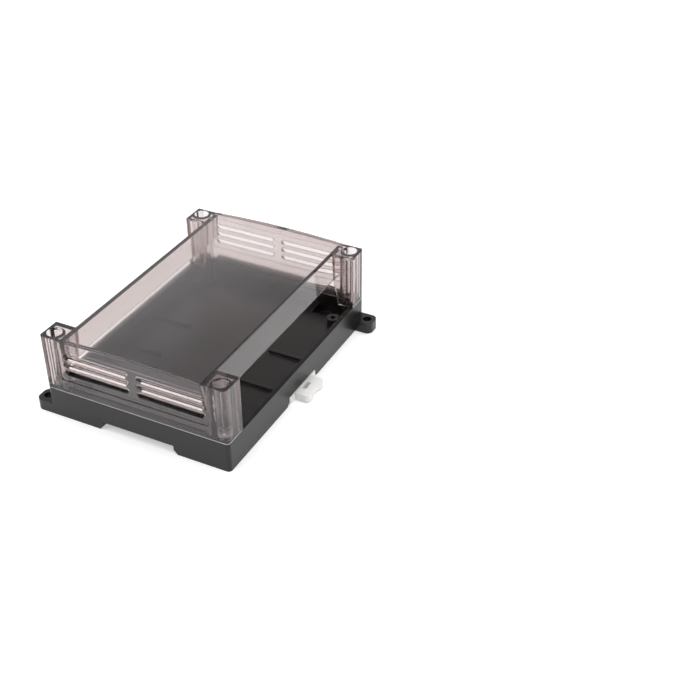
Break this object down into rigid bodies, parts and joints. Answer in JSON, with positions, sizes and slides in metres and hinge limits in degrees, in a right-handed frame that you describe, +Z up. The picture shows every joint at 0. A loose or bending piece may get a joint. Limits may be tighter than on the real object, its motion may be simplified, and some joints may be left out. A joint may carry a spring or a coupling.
{
  "type": "din rail enclosure",
  "caption": "Low black enclosure base for a 35 mm rail with a smoky clear louvred cover, open terminal wells, fixing ears and a sliding rail clip.",
  "frame": {"origin": "centre of the underside, on the surface that the base stands on", "axes": "+Z up out of the cover, +Y along the rail, +X towards the side where the rail clip is pulled"},
  "size_m": [0.106, 0.124, 0.042],
  "materials": {
    "base_plastic": "moulded gloss",
    "smoky_clear": "clear, lightly smoked",
    "natural_nylon": "natural, slightly translucent",
    "screw_steel": "zinc plated"
  },
  "bodies": {
    "enclosure": {"base": "base_plastic", "cover": "smoky_clear", "cover_screws": "screw_steel"},
    "clip": {"din_clip": "natural_nylon"}
  },
  "joints": [
    {"name": "clip_slide", "type": "slide", "parent": "enclosure", "child": "clip", "axis": [1, 0, 0], "range_m": [0, 0.004]}
  ]
}
